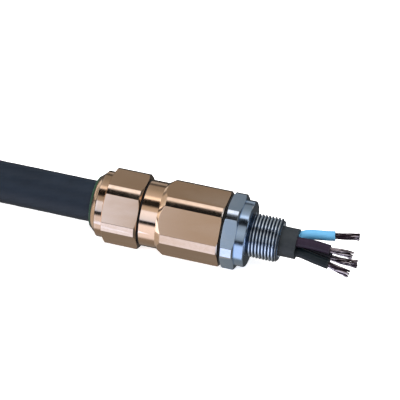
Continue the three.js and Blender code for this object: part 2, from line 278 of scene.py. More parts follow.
def use_group(tree, group, inputs):
    return add(tree, "ShaderNodeGroup", inputs, node_tree=group)


FLOAT, VECTOR = "NodeSocketFloat", "NodeSocketVector"

# %% [markdown]
# ## Shared effects
# Six small node groups serve the finishes: the lines of a lathe and of a milling cutter, the
# marks of handling, bright worn edges, painted shade in grooves, and the fine pebbling of moulded
# plastic.
# Nodes could be copied into each material, but a group is built once and mended once.

# %% Lathe lines


def build_lathe_lines():
    """Fine rings around the X axis: they change along the axis and with the radius only."""
    tree, given, out = new_group("lathe lines", [("Vector", VECTOR, None), ("Scale", FLOAT, 900.0)],
                                 [("Height", FLOAT)])
    split = add(tree, "ShaderNodeSeparateXYZ", {0: given.outputs["Vector"]})
    flat = add(tree, "ShaderNodeCombineXYZ", {1: split.outputs["Y"], 2: split.outputs["Z"]})
    radius = add(tree, "ShaderNodeVectorMath", {0: flat.outputs[0]}, operation="LENGTH")
    line = add(tree, "ShaderNodeCombineXYZ", {0: split.outputs["X"], 1: radius.outputs["Value"]})
    fine = add(tree, "ShaderNodeTexNoise", {"Vector": line.outputs[0],
               "Scale": given.outputs["Scale"], "Detail": 4.0, "Roughness": 0.65})
    tree.links.new(fine.outputs[0], out.inputs["Height"])
    return tree


lathe_lines = build_lathe_lines()

# %% Milled lines


def build_milled_lines():
    """Straight strokes along X, as a milling cutter or belt leaves on a flat."""
    tree, given, out = new_group("milled lines", [("Vector", VECTOR, None), ("Scale", FLOAT, 700.0)],
                                 [("Height", FLOAT)])
    drawn = add(tree, "ShaderNodeVectorMath", {0: given.outputs["Vector"], 1: (0.06, 1, 1)},
                operation="MULTIPLY")
    fine = add(tree, "ShaderNodeTexNoise", {"Vector": drawn.outputs[0],
               "Scale": given.outputs["Scale"], "Detail": 5.0, "Roughness": 0.6})
    tree.links.new(fine.outputs[0], out.inputs["Height"])
    return tree


milled_lines = build_milled_lines()

# %% Handling marks


def build_handling():
    """Cloudy smears and a few hairline scratches, bent by the square of a soft noise."""
    tree, given, out = new_group("handling", [("Vector", VECTOR, None), ("Seed", FLOAT, 0.0)],
                                 [("Smear", FLOAT), ("Scratch", FLOAT)])
    cloud = add(tree, "ShaderNodeTexNoise", {"Vector": given.outputs["Vector"],
                "W": given.outputs["Seed"], "Scale": 95.0, "Detail": 6.0, "Roughness": 0.62,
                "Distortion": 0.7}, noise_dimensions="4D")
    smear = remap(tree, cloud.outputs[0], 0.42, 0.68, 0.0, 1.0)
    bent = add(tree, "ShaderNodeTexNoise", {"Vector": given.outputs["Vector"], "Scale": 40.0})
    pushed = add(tree, "ShaderNodeVectorMath", {0: bent.outputs["Color"], 1: bent.outputs["Color"],
                 2: given.outputs["Vector"]}, operation="MULTIPLY_ADD")
    crack = add(tree, "ShaderNodeTexVoronoi", {"Vector": pushed.outputs[0], "Scale": 150.0,
                "Randomness": 1.0}, feature="DISTANCE_TO_EDGE")
    scratch = remap(tree, crack.outputs[0], 0.0, 0.012, 1.0, 0.0)
    sparse = math_node(tree, "MULTIPLY", scratch, smear)
    tree.links.new(smear, out.inputs["Smear"])
    tree.links.new(sparse, out.inputs["Scratch"])
    return tree


handling = build_handling()

# %% Edge wear


def build_edge_wear():
    """White on the outer edges of a piece, broken up by a little noise."""
    tree, given, out = new_group("edge wear", [("Vector", VECTOR, None)], [("Worn", FLOAT)])
    shape = add(tree, "ShaderNodeNewGeometry")
    edge = remap(tree, shape.outputs["Pointiness"], 0.52, 0.6, 0.0, 1.0)
    grain = add(tree, "ShaderNodeTexNoise", {"Vector": given.outputs["Vector"], "Scale": 600.0,
                "Detail": 3.0})
    broken = remap(tree, grain.outputs[0], 0.35, 0.65, 0.75, 1.0)
    worn = math_node(tree, "MULTIPLY", edge, broken)
    tree.links.new(worn, out.inputs["Worn"])
    return tree


edge_wear = build_edge_wear()

# %% Painted groove shade


def build_painted_groove_shade():
    """Painted shade for a groove cut into a turned surface: 0 at its root, 1 at its crest."""
    tree, given, out = new_group("painted groove shade", [("Vector", VECTOR, None), ("Root", FLOAT, 0.009),
                                                  ("Crest", FLOAT, 0.01)], [("Unshaded", FLOAT)])
    split = add(tree, "ShaderNodeSeparateXYZ", {0: given.outputs["Vector"]})
    flat = add(tree, "ShaderNodeCombineXYZ", {1: split.outputs["Y"], 2: split.outputs["Z"]})
    radius = add(tree, "ShaderNodeVectorMath", {0: flat.outputs[0]}, operation="LENGTH")
    unshaded = remap(tree, radius.outputs["Value"], given.outputs["Root"], given.outputs["Crest"], 0.0, 1.0)
    tree.links.new(unshaded, out.inputs["Unshaded"])
    return tree


painted_groove_shade = build_painted_groove_shade()

# %% Moulded pebble


def build_pebble():
    """The faint pebbling of extruded or moulded plastic and rubber."""
    tree, given, out = new_group("pebble", [("Vector", VECTOR, None), ("Scale", FLOAT, 1500.0)],
                                 [("Height", FLOAT), ("Cloud", FLOAT)])
    fine = add(tree, "ShaderNodeTexNoise", {"Vector": given.outputs["Vector"],
               "Scale": given.outputs["Scale"], "Detail": 3.0})
    cloud = add(tree, "ShaderNodeTexNoise", {"Vector": given.outputs["Vector"], "Scale": 60.0,
                "Detail": 4.0, "Roughness": 0.6})
    tree.links.new(fine.outputs[0], out.inputs["Height"])
    tree.links.new(cloud.outputs[0], out.inputs["Cloud"])
    return tree


pebble = build_pebble()
print("shared effects:", [g.name for g in bpy.data.node_groups])

# %% [markdown]
# ## Finishes
# The metals share one recipe with their own colours: lines from the tool in the bump and in the
# roughness, a slight change of colour where hands have been, and bright rubbed edges. Textures
# could be painted for each piece, but patterns on Object coordinates need no unwrapping.

# %% Metal recipe
# the colour of the shade painted down in the thread's grooves
GROOVE_SHADE_COLOR = (0.045, 0.07, 0.11)
TOOL_GROOVE = 0.00002  # depth of the tool's lines, in metres
SMEAR_TINT = 0.35  # how far a smear changes the colour
LINE_ROUGHNESS, SMEAR_ROUGHNESS, SCRATCH_ROUGHNESS = 0.08, 0.04, 0.08


def on_axis(tree):
    """Object coordinates with the gland's axis moved to the origin."""
    where = add(tree, "ShaderNodeTexCoord")
    moved = add(tree, "ShaderNodeMapping", {"Vector": where.outputs["Object"],
                "Location": (0, 0, -AXIS_Z)})
    return moved.outputs[0]


def metal(name, color, tint, edge_color, roughness, lines, line_scale, depth, seed, groove=None):
    """Worked metal: color varies towards tint, edges towards edge_color, with painted shade down in a
    groove.
    """
    made, tree, shader = plain_material(name, color, roughness, 1.0)
    vector = on_axis(tree)
    marks = use_group(tree, lines, {"Vector": vector, "Scale": line_scale})
    touched = use_group(tree, handling, {"Vector": vector, "Seed": seed})
    worn = use_group(tree, edge_wear, {"Vector": vector})
    patchy = math_node(tree, "MULTIPLY", touched.outputs["Smear"], SMEAR_TINT)
    toned = mix_colors(tree, patchy, (*color, 1), (*tint, 1))
    surface_color = mix_colors(tree, worn.outputs["Worn"], toned, (*edge_color, 1))
    # painted shade: the colour darkens towards a groove's root, where shade falls
    if groove:
        root, crest = groove
        unshaded = use_group(tree, painted_groove_shade, {"Vector": vector, "Root": root, "Crest": crest})
        surface_color = mix_colors(tree, unshaded.outputs["Unshaded"], (*GROOVE_SHADE_COLOR, 1), surface_color)
    base = math_node(tree, "MULTIPLY_ADD", marks.outputs["Height"], LINE_ROUGHNESS,
                     roughness - LINE_ROUGHNESS / 2)
    smeared = math_node(tree, "MULTIPLY_ADD", touched.outputs["Smear"], SMEAR_ROUGHNESS, base)
    rough = math_node(tree, "MULTIPLY_ADD", touched.outputs["Scratch"], SCRATCH_ROUGHNESS, smeared)
    bump = add(tree, "ShaderNodeBump", {"Height": marks.outputs["Height"], "Strength": depth,
               "Distance": TOOL_GROOVE})
    tree.links.new(surface_color, shader.inputs["Base Color"])
    tree.links.new(rough, shader.inputs["Roughness"])
    tree.links.new(bump.outputs[0], shader.inputs["Normal"])
    return made


ROSE, ROSE_TINT, ROSE_EDGE = (0.64, 0.44, 0.295), (0.59, 0.39, 0.24), (0.88, 0.74, 0.63)
turned_brass = metal("turned rose brass", ROSE, ROSE_TINT, ROSE_EDGE, 0.12, lathe_lines, 900, 0.2, 1)
milled_brass = metal("milled rose brass", ROSE, ROSE_TINT, ROSE_EDGE, 0.18, milled_lines, 700, 0.25, 2)
NICKEL, NICKEL_TINT, NICKEL_EDGE = (0.42, 0.56, 0.74), (0.37, 0.50, 0.68), (0.85, 0.9, 0.96)
turned_nickel = metal("turned nickel plate", NICKEL, NICKEL_TINT, NICKEL_EDGE, 0.15, lathe_lines, 900,
                      0.2, 3)
milled_nickel = metal("milled nickel plate", NICKEL, NICKEL_TINT, NICKEL_EDGE, 0.18, milled_lines, 700,
                      0.25, 4)
# its grooves get painted shade, from the root radius to the crest radius
thread_nickel = metal("threaded nickel plate", (0.78, 0.89, 1.0), (0.7, 0.81, 0.95), (0.92, 0.96, 1.0),
                      0.27, lathe_lines, 900, 0.2, 3, groove=(0.00925, 0.0097))
plain_brass = metal("plain brass", (0.7, 0.53, 0.26), (0.6, 0.42, 0.18), (0.92, 0.8, 0.5), 0.32,
                    lathe_lines, 700, 0.7, 5)
wire_steel = metal("galvanised wire", (0.55, 0.56, 0.58), (0.4, 0.41, 0.42), (0.8, 0.8, 0.82), 0.42,
                   milled_lines, 900, 0.6, 6)

# %% [markdown]
# The bare strands are dull copper with bright streaks painted along their length as highlights. At this
# size a bump alone doesn't show, so the streaks are in the colour, and the bump only helps.

# %% Strand finish


def painted_highlight_copper():
    """Darkened copper with bright painted highlights drawn along it in streaks."""
    made, tree, shader = plain_material("darkened copper strand", (0.1, 0.07, 0.09), 0.24, 1.0)
    vector = on_axis(tree)
    drawn = use_group(tree, milled_lines, {"Vector": vector, "Scale": 1300.0})
    # painted highlight: bright streaks in the colour stand in for light reflected along the strands
    painted_highlight = remap(tree, drawn.outputs["Height"], 0.5, 0.6, 0.0, 1.0)
    toned = mix_colors(tree, painted_highlight, (0.045, 0.03, 0.042, 1), (0.75, 0.66, 0.7, 1))
    bump = add(tree, "ShaderNodeBump", {"Height": drawn.outputs["Height"], "Strength": 0.6,
               "Distance": TOOL_GROOVE})
    tree.links.new(toned, shader.inputs["Base Color"])
    tree.links.new(bump.outputs[0], shader.inputs["Normal"])
    return made


strand_copper = painted_highlight_copper()

# %% [markdown]
# Plastic and rubber have no tool's lines. Their colour drifts a little and their skin is finely
# pebbled, which one recipe can give them all: they differ in tone, roughness and pebble size.

# %% Plastic and rubber recipe
PEBBLE_HEIGHT = 0.00004  # in metres
CLOUD_ROUGHNESS = 0.18  # how much the roughness drifts
RUB = 0.5  # how far a rubbed edge turns pale


def plastic(name, color, cloudy, roughness, scale, depth, sheen=0.0):
    """Extruded or moulded plastic or rubber: colour drifts between two close tones."""
    made, tree, shader = plain_material(name, color, roughness)
    vector = on_axis(tree)
    skin = use_group(tree, pebble, {"Vector": vector, "Scale": scale})
    drift = remap(tree, skin.outputs["Cloud"], 0.35, 0.65, 0.0, 1.0)
    toned = mix_colors(tree, drift, (*color, 1), (*cloudy, 1))
    worn = use_group(tree, edge_wear, {"Vector": vector})
    pale = tuple(0.6 * c + 0.03 for c in color)
    surface_color = mix_colors(tree, math_node(tree, "MULTIPLY", worn.outputs["Worn"], RUB), toned, (*pale, 1))
    rough = math_node(tree, "MULTIPLY_ADD", skin.outputs["Cloud"], CLOUD_ROUGHNESS,
                      roughness - CLOUD_ROUGHNESS / 2)
    bump = add(tree, "ShaderNodeBump", {"Height": skin.outputs["Height"], "Strength": depth,
               "Distance": PEBBLE_HEIGHT})
    shader.inputs["Sheen Weight"].default_value = sheen
    shader.inputs["Specular IOR Level"].default_value = 0.25
    tree.links.new(surface_color, shader.inputs["Base Color"])
    tree.links.new(rough, shader.inputs["Roughness"])
    tree.links.new(bump.outputs[0], shader.inputs["Normal"])
    return made


sheath_pvc = plastic("sheath plastic", (0.004, 0.0078, 0.0145), (0.006, 0.0112, 0.02), 0.46, 1300, 0.5)
bedding_pvc = plastic("bedding plastic", (0.0035, 0.0075, 0.0115), (0.006, 0.011, 0.016), 0.5, 1500, 0.5)
seal_rubber = plastic("seal rubber", (0.003, 0.026, 0.010), (0.005, 0.036, 0.015), 0.5, 2200, 0.5, 0.05)
ring_rubber = plastic("ring rubber", (0.004, 0.004, 0.005), (0.007, 0.007, 0.008), 0.45, 2400, 0.5, 0.05)
nylon = plastic("natural nylon", (0.72, 0.7, 0.62), (0.66, 0.63, 0.54), 0.45, 1800, 0.3)
CORE_PLASTIC = {
    "blue": plastic("blue insulation", (0.085, 0.28, 0.47), (0.1, 0.31, 0.51), 0.4, 1600, 0.3),
    "brown": plastic("brown insulation", (0.010, 0.005, 0.013), (0.015, 0.008, 0.019), 0.42, 1600, 0.3),
    "black": plastic("black insulation", (0.0015, 0.0035, 0.005), (0.003, 0.006, 0.008), 0.42, 1600, 0.3),
    "grey": plastic("grey insulation", (0.006, 0.007, 0.012), (0.01, 0.011, 0.017), 0.42, 1600, 0.3),
}
print("finishes:", len(bpy.data.materials))

# %% [markdown]
# ## Tools for turned pieces
# A lathe makes a shape by spinning an outline, and so does Blender's spin operator. A Screw
# modifier could spin it too, but a thread is cut by moving the spun rings in and out, which
# needs the mesh itself. Hexagon flats are then cut off with a plane, as a milling cutter would.

# %% Turning
TURN_STEPS = 144
PITCH = 1.5
THREAD_DEPTH = 0.92
INSIDE_DEPTH = THREAD_DEPTH * 0.75  # an inside thread is a little shallower
RIDGE_TOP, RIDGE_SLOPE = 1.55, 3.91  # over 1 is cut off to a flat crest; fall per turn
HIDDEN_RINGS, SHOWN_RINGS = 10, 24  # rings in each turn of a thread's blank
STEP_IN = 0.01  # a nearly upright wall at a thread's end
CRISP_ANGLE = math.radians(15)  # edges sharper than this stay crisp


def turned(outline, steps=TURN_STEPS):
    """A ring spun about X from a closed outline of (x, radius) points, in millimetres."""
    bm = bmesh.new()
    points = [bm.verts.new((x, 0, r)) for x, r in outline]
    edges = [bm.edges.new(pair) for pair in zip(points, points[1:] + points[:1])]
    bmesh.ops.spin(bm, geom=points + edges, cent=(0, 0, 0), axis=(1, 0, 0),
                   angle=math.tau, steps=steps, use_merge=True)
    bmesh.ops.remove_doubles(bm, verts=bm.verts, dist=1e-4)
    bmesh.ops.recalc_face_normals(bm, faces=bm.faces)
    return bm


def arc(x, r, radius, start, end, steps):
    """Points of a round corner: angles in degrees, 0 towards +X and 90 away from the axis."""
    angles = [math.radians(start + (end - start) * i / steps) for i in range(steps + 1)]
    return [(x + radius * math.cos(a), r + radius * math.sin(a)) for a in angles]


def thread_blank(rear, front, r, per_turn=HIDDEN_RINGS):
    """Close rings along a stretch that will become a thread."""
    count = round((front - rear) / PITCH * per_turn)
    return [(rear + (front - rear) * i / count, r) for i in range(count + 1)]


def cut_thread(bm, rear, front, crest_r, lead_in, inside=False):
    """Moves the rings of a blank in or out to make a right-hand thread of one start."""
    deepest = INSIDE_DEPTH if inside else THREAD_DEPTH
    for vert in bm.verts:
        r = math.hypot(vert.co.y, vert.co.z)
        if abs(r - crest_r) > 1e-3 or not rear - 1e-4 < vert.co.x < front + 1e-4:
            continue
        turn = math.atan2(vert.co.z, -vert.co.y) / math.tau
        phase = ((vert.co.x - rear) / PITCH + turn) % 1
        ridge = min(1, max(0, RIDGE_TOP - RIDGE_SLOPE * abs(phase - 0.5)))
        from_end = min(vert.co.x - rear, front - vert.co.x) / lead_in
        height = min(ridge, max(0, from_end))
        change = deepest * (1 - height)
        vert.co.yz = vert.co.yz * ((r + change) / r if inside else (r - change) / r)


# %% Milling and easing
TURNED_SLOT, FLAT_SLOT, THREAD_SLOT = 0, 1, 2  # which of a piece's finishes a face has
BRASS_EASE, NICKEL_EASE = 0.12, 0.1


def mill_flats(bm):
    """Cuts six flats: whatever stands out past a flat is taken off and the cut is closed."""
    for side in range(6):
        angle = math.radians(60 * side)
        outward = Vector((0, math.sin(angle), math.cos(angle)))
        everything = bm.verts[:] + bm.edges[:] + bm.faces[:]
        cut = bmesh.ops.bisect_plane(bm, geom=everything, dist=1e-4, plane_co=outward * FLAT_R,
                                     plane_no=outward, clear_outer=True)
        rim = [e for e in cut["geom_cut"] if isinstance(e, bmesh.types.BMEdge) and e.is_boundary]
        filled = bmesh.ops.edgeloop_fill(bm, edges=rim)
        for face in filled["faces"]:
            face.material_index = FLAT_SLOT


def ease_flats(bm, size):
    """Breaks the sharp edges around each flat, as a file or a tumbling barrel does."""
    flats = [f for f in bm.faces if f.material_index == FLAT_SLOT]
    rims = {e for f in flats for e in f.edges}
    eased = bmesh.ops.bevel(bm, geom=list(rims), offset=size, offset_type="OFFSET", segments=2,
                            profile=0.5, affect="EDGES", material=-1, clamp_overlap=False)
    for face in eased["faces"]:
        face.material_index = TURNED_SLOT


def make_piece(bm, name, body, node, materials, sharp=CRISP_ANGLE):
    """Puts a finished bmesh in its place, in metres, and hands it to the frame."""
    bmesh.ops.scale(bm, vec=(MM, MM, MM), verts=bm.verts)
    bmesh.ops.translate(bm, vec=(0, 0, AXIS_Z), verts=bm.verts)
    mesh = bpy.data.meshes.new(name)
    bm.to_mesh(mesh)
    bm.free()
    mesh.set_sharp_from_angle(angle=sharp)
    for face in mesh.polygons:
        face.use_smooth = face.material_index != FLAT_SLOT  # a milled flat is a true plane
    for material in materials:
        mesh.materials.append(material)
    made = bpy.data.objects.new(name, mesh)
    bpy.context.scene.collection.objects.link(made)
    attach(made, body)
    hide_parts(node)
    print(f"{name}: {len(mesh.polygons)} faces on {body}")
    return made


# %% [markdown]
# ## The cable's outer sheath
# The cable is a stiff sample, sawn off square at its free end. Its sheath could be a curve with
# depth, but a spun tube has a wall and clean ends. A faint twist shows where the armour wires
# lie under it.

# %% Sheath
SHEATH_WALL = 0.9
ARMOUR_COUNT = 42
ARMOUR_LAY = 190.0  # length of one turn of the armour wires
SHEATH_RIPPLE = 0.035  # how far the wires show through
SHEATH_DRIFT, DRIFT_SCALE = 0.05, 0.09  # slow unevenness of the extrusion
SHEATH_RINGS = 90
SAWN_EASE, FRONT_EASE = 0.25, 0.3  # the rounding of its two ends


def sheath_stations():
    """Evenly spaced ring places along the sheath."""
    span = SHEATH_FRONT - CABLE_END
    return [CABLE_END + span * i / SHEATH_RINGS for i in range(SHEATH_RINGS + 1)]


def build_sheath():
    inner = SHEATH_R - SHEATH_WALL
    stations = sheath_stations()
    outline = [(x, SHEATH_R) for x in stations]
    outline[0] = (CABLE_END + SAWN_EASE, SHEATH_R)
    outline[-1] = (SHEATH_FRONT - FRONT_EASE, SHEATH_R)
    outline.insert(0, (CABLE_END, SHEATH_R - SAWN_EASE))
    outline.append((SHEATH_FRONT, SHEATH_R - FRONT_EASE))
    outline += [(SHEATH_FRONT, inner), (CABLE_END, inner)]
    bm = turned(outline, steps=4 * ARMOUR_COUNT)
    for vert in bm.verts:
        r = math.hypot(vert.co.y, vert.co.z)
        if r < SHEATH_R - SHEATH_DRIFT:
            continue
        turn = math.atan2(vert.co.z, vert.co.y) + vert.co.x * math.tau / ARMOUR_LAY
        wave = SHEATH_RIPPLE * math.cos(turn * ARMOUR_COUNT / 2)
        drift = SHEATH_DRIFT * noise.noise(vert.co * DRIFT_SCALE)
        vert.co.yz = vert.co.yz * ((r - SHEATH_RIPPLE - SHEATH_DRIFT + wave + drift) / r)
    return bm


sheath = make_piece(build_sheath(), "outer_sheath", "root", "cable_outer_sheath",
                    [sheath_pvc])

# %% [markdown]
# ## Armour wires
# Single steel wires lie side by side around the bedding in a long twist, and fan out over the
# cone in the gland. Curves with depth could be made meshes, but a disc extruded from station to
# station is a closed rod from the start. Each wire is swept along its own line.

# %% Sweeping a rod


def station_frame(line, index):
    """Where a section stands at one point of a line, facing along it."""
    ahead = line[min(index + 1, len(line) - 1)]
    behind = line[max(index - 1, 0)]
    turn = (ahead - behind).to_track_quat("Z", "Y").to_matrix().to_4x4()
    return Matrix.Translation(line[index]) @ turn


def sweep(line, radius, sides):
    """A closed rod along a line: a disc is extruded from station to station."""
    bm = bmesh.new()
    frames = [station_frame(line, i) for i in range(len(line))]
    bmesh.ops.create_circle(bm, cap_ends=True, radius=radius, segments=sides, matrix=frames[0])
    ring = bm.edges[:]
    for before, after in zip(frames, frames[1:]):
        grown = bmesh.ops.extrude_edge_only(bm, edges=ring)["geom"]
        moved = [g for g in grown if isinstance(g, bmesh.types.BMVert)]
        bmesh.ops.transform(bm, matrix=after @ before.inverted(), verts=moved)
        ring = [g for g in grown if isinstance(g, bmesh.types.BMEdge)
                and all(v in moved for v in g.verts)]
    bmesh.ops.edgeloop_fill(bm, edges=ring)
    bmesh.ops.recalc_face_normals(bm, faces=bm.faces)
    return bm


def join(parts):
    """One bmesh that holds several."""
    whole = bmesh.new()
    for part in parts:
        mesh = bpy.data.meshes.new("part")
        part.to_mesh(mesh)
        part.free()
        whole.from_mesh(mesh)
        bpy.data.meshes.remove(mesh)
    return whole


# %% Armour
_, armour_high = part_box("armour_wires")
ARMOUR_FRONT = armour_high.x / MM
WIRE_R = 0.52
ARMOUR_R = 7.76  # from the cable's axis to each wire's
CONE_TIP = SPIGOT_REAR - 8.3
ARMOUR_SLOPE = 0.457  # how steeply the wires climb the cone
WIRE_AT_TIP, CLAMP_AT_TIP, CONE_AT_TIP = 8.38, 9.28, 7.55  # radii where the cone begins
CLIMB_START = CONE_TIP - 1.2
LEVEL_STEPS = 22
ROUND_ANGLE = math.radians(50)  # thin rods stay smooth all round


def armour_radius(x):
    """Distance of a wire's middle from the axis: level in the cable, then up the cone."""
    climb = WIRE_AT_TIP + (x - CONE_TIP) * ARMOUR_SLOPE
    return max(ARMOUR_R, climb) if x > CLIMB_START else ARMOUR_R


def armour_line(start_turn):
    line = []
    level = CONE_TIP - 2 - CABLE_END
    stations = [CABLE_END + level * i / LEVEL_STEPS for i in range(LEVEL_STEPS + 1)]
    stations += [CLIMB_START, CONE_TIP - 0.3, CONE_TIP + 1.5, CONE_TIP + 4, ARMOUR_FRONT - 0.3]
    for x in stations:
        turn = start_turn - min(x, CONE_TIP) * math.tau / ARMOUR_LAY
        r = armour_radius(x)
        line.append(Vector((x, r * math.cos(turn), r * math.sin(turn))))
    return line


armour = join([sweep(armour_line(math.tau * i / ARMOUR_COUNT), WIRE_R, 8)
               for i in range(ARMOUR_COUNT)])
armour_piece = make_piece(armour, "armour_strands", "root", "armour_wires",
                          [wire_steel], sharp=ROUND_ANGLE)

# %% [markdown]
# ## Bedding and cores
# The bedding is one extrusion with a hole for each core. The holes could be cut with booleans,
# but a section filled round them and drawn out along the cable has clean walls. The knife cut
# at its front is a little rough. Beyond it the four cores part and bend on their own routes.

# %% Core routes
LEAN = math.radians(54)  # the fans are laid out in a plane that leans back
CORE_R = 2.25
CORE_CIRCLE_R = 3.6  # from the cable's axis to each core's
QUAD_TURN = math.radians(18)
# (distance past the bedding, up the leaning plane, out of it)
CORE_FANS = {
    "blue": [(1.5, 4.4, -1), (4, 5.3, -1), (8, 5.9, -1.1), (12, 6.4, -1.3),
             (15.2, 7, -1.4), (19, 7.55, -1.5), (23, 8.3, -1.5), (26, 8.8, -1.5)],
    "brown": [(1.5, 1.1, 3.3), (4, 1.25, 3.2), (8, 1.2, 3), (11.5, 0.9, 2.9),
              (14.6, 0.6, 2.8), (18, 0.5, 2.8), (22, 0.4, 2.7), (25, 0, 2.6)],
    "black": [(1.5, -3.4, 1.1), (4, -3.8, 1.3), (8, -4.6, 1.7), (12, -5.3, 2.1),
              (15.2, -5.8, 2.3), (18.5, -6.7, 2.5), (22, -7.5, 2.6), (25, -8.2, 2.7)],
    "grey": [(1.5, -1.1, -3.3), (4, -1.2, -3.1), (8, -1.7, -2.6), (12, -2.2, -2.1),
             (15, -2.7, -1.8), (19, -3.2, -1.5), (23.5, -3.3, -1.3), (27.5, -3.3, -1.2)],
}
COVERED = 8  # a core's stations as far as its insulation goes
LINE_STEPS = 7
CUT_ANGLE = math.radians(40)


def across(up_part, out_part):
    """(y, z) of an offset measured across a line that leans back from upright."""
    return (up_part * math.cos(LEAN) - out_part * math.sin(LEAN),
            up_part * math.sin(LEAN) + out_part * math.cos(LEAN))


def core_stations(name):
    quadrant = list(CORE_FANS).index(name)
    turn = QUAD_TURN - quadrant * math.pi / 2
    y, z = across(CORE_CIRCLE_R * math.cos(turn), -CORE_CIRCLE_R * math.sin(turn))
    points = [Vector((CABLE_END, y, z)), Vector((BEDDING_FRONT - 6, y, z)),
              Vector((BEDDING_FRONT + 0.3, y, z))]
    for along, up_part, out_part in CORE_FANS[name]:
        points.append(Vector((BEDDING_FRONT + along, *across(up_part, out_part))))
    return points


def smooth_line(points, per_step):
    """A smooth curve through the points: it passes each one parallel to its neighbours' line."""
    line = []
    for i in range(len(points) - 1):
        p1, p2 = points[i], points[i + 1]
        before = points[i - 1] if i else p1 * 2 - p2
        after = points[i + 2] if i + 2 < len(points) else p2 * 2 - p1
        reach = (p2 - p1).length
        out_way = (p2 - before).normalized() * reach if i > 1 else p2 - p1
        in_way = (after - p1).normalized() * reach if i > 0 else p2 - p1
        for step in range(per_step):
            t = step / per_step
            line.append(p1 * (2 * t**3 - 3 * t**2 + 1) + out_way * (t**3 - 2 * t**2 + t)
                        + p2 * (3 * t**2 - 2 * t**3) + in_way * (t**3 - t**2))
    return line + [points[-1]]


# %% Bedding
CUT_DEPTH, CUT_ROUGHNESS = 0.35, 0.8  # the knife cut: how deep it wavers and how quickly
CUT_ZONE = (1.2, 0.9, 0.6, 0.3)  # short lengths near the cut, for it to waver in
DRAWN_LENGTHS = (BEDDING_FRONT - CABLE_END - 3, *CUT_ZONE)


def build_bedding():
    bm = bmesh.new()
    upright = Matrix.Rotation(math.pi / 2, 4, "Y")
    rings = [(0, 0, BEDDING_R, 96)]
    rings += [(*core_stations(name)[0].yz, CORE_R + 0.05, 40) for name in CORE_FANS]
    for y, z, radius, sides in rings:
        spot = Matrix.Translation((CABLE_END, y, z)) @ upright
        bmesh.ops.create_circle(bm, cap_ends=False, radius=radius, segments=sides, matrix=spot)
    bmesh.ops.triangle_fill(bm, edges=bm.edges[:], use_beauty=True)
    end = bm.faces[:]
    for length in DRAWN_LENGTHS:
        grown = bmesh.ops.extrude_face_region(bm, geom=end)["geom"]
        front = [g for g in grown if isinstance(g, bmesh.types.BMVert)]
        bmesh.ops.translate(bm, vec=(length, 0, 0), verts=front)
        if length != DRAWN_LENGTHS[0]:
            bmesh.ops.delete(bm, geom=end, context="FACES_ONLY")
        end = [g for g in grown if isinstance(g, bmesh.types.BMFace)]
    return bm


bedding_bm = build_bedding()
bmesh.ops.recalc_face_normals(bedding_bm, faces=bedding_bm.faces)
for vert in bedding_bm.verts:
    if vert.co.x > BEDDING_FRONT - 1.0:
        waver = noise.noise(Vector((0, vert.co.y, vert.co.z)) * CUT_ROUGHNESS)
        vert.co.x += CUT_DEPTH * (waver - 1)
bedding = make_piece(bedding_bm, "bedding", "root", "cable_bedding", [bedding_pvc],
                     sharp=CUT_ANGLE)

# %% Core insulation
LIP, LIP_HEIGHT = 0.12, 0.1  # the cut end is eased
WALL = 0.55
POCKET_DRAFT, POCKET_DEPTH = 0.02, 2.5  # the hollow that the strands come out of


def build_core(name):
    line = smooth_line(core_stations(name)[:COVERED], LINE_STEPS)
    bm = sweep(line, CORE_R, 28)
    ends = [f for f in bm.faces if len(f.verts) > 4]
    bmesh.ops.inset_region(bm, faces=ends, thickness=LIP, depth=LIP_HEIGHT)
    bmesh.ops.inset_region(bm, faces=ends, thickness=WALL, depth=0)
    bmesh.ops.inset_region(bm, faces=ends, thickness=POCKET_DRAFT, depth=-POCKET_DEPTH)
    return bm


cores = [make_piece(build_core(name), f"{name}_insulation", "root", f"core_{name}",
                    [CORE_PLASTIC[name]], sharp=CUT_ANGLE)
         for name in CORE_FANS]

# %% [markdown]
# ## Conductors
# Each conductor is seven copper strands: one in the middle and six twisted round it. A rod with
# a twist in its bump would look flat at the bare end, so every strand is a swept rod. Past the
# insulation they open a little, and no two end at quite the same place.

# %% Strands
STRAND_R = 0.5
STRAND_LAY = 52.0  # length of one turn of the strands
STRAND_CIRCLE_R = 2 * STRAND_R * 0.97  # the strands press into each other a little
SPLAY = (0.2, 0.75)  # least and most that a strand's end stands out
SHORTEST = 0.6  # part of the last step that a strand may lack
STRAIGHT_STEPS = 50
rng = random.Random(7)


def strand_line(middle, place_in_lay, free_from):
    """One strand's path round the conductor's middle line."""
    line, travelled = [], 0.0
    total = sum((b - a).length for a, b in zip(middle, middle[1:]))
    splay = rng.uniform(*SPLAY)
    for i, point in enumerate(middle):
        if i:
            travelled += (point - middle[i - 1]).length
        ahead = middle[min(i + 1, len(middle) - 1)] - middle[max(i - 1, 0)]
        side = ahead.cross(Vector((0, 0, 1))).normalized()
        top = side.cross(ahead).normalized()
        free = max(0.0, (travelled - free_from) / (total - free_from))
        turn = math.tau * (travelled / STRAND_LAY + place_in_lay)
        reach = STRAND_CIRCLE_R + splay * free**2
        line.append(point + reach * (math.cos(turn) * side + math.sin(turn) * top))
    return line


def build_conductor(name):
    points = core_stations(name)
    straight = [points[0].lerp(points[1], i / STRAIGHT_STEPS) for i in range(STRAIGHT_STEPS)]
    middle = straight + smooth_line(points, LINE_STEPS)[LINE_STEPS:]
    stripped_at = sum((b - a).length for a, b in zip(points, points[1:COVERED]))
    lines = [middle] + [strand_line(middle, i / 6, stripped_at) for i in range(6)]
    for line in lines:
        line[-1] = line[-1].lerp(line[-2], rng.uniform(0, SHORTEST))
    strands = [sweep(line, STRAND_R, 10) for line in lines]
    return join(strands)


conductors = [make_piece(build_conductor(name), f"{name}_strands", "root", f"conductor_{name}",
                         [strand_copper], sharp=ROUND_ANGLE)
              for name in CORE_FANS]
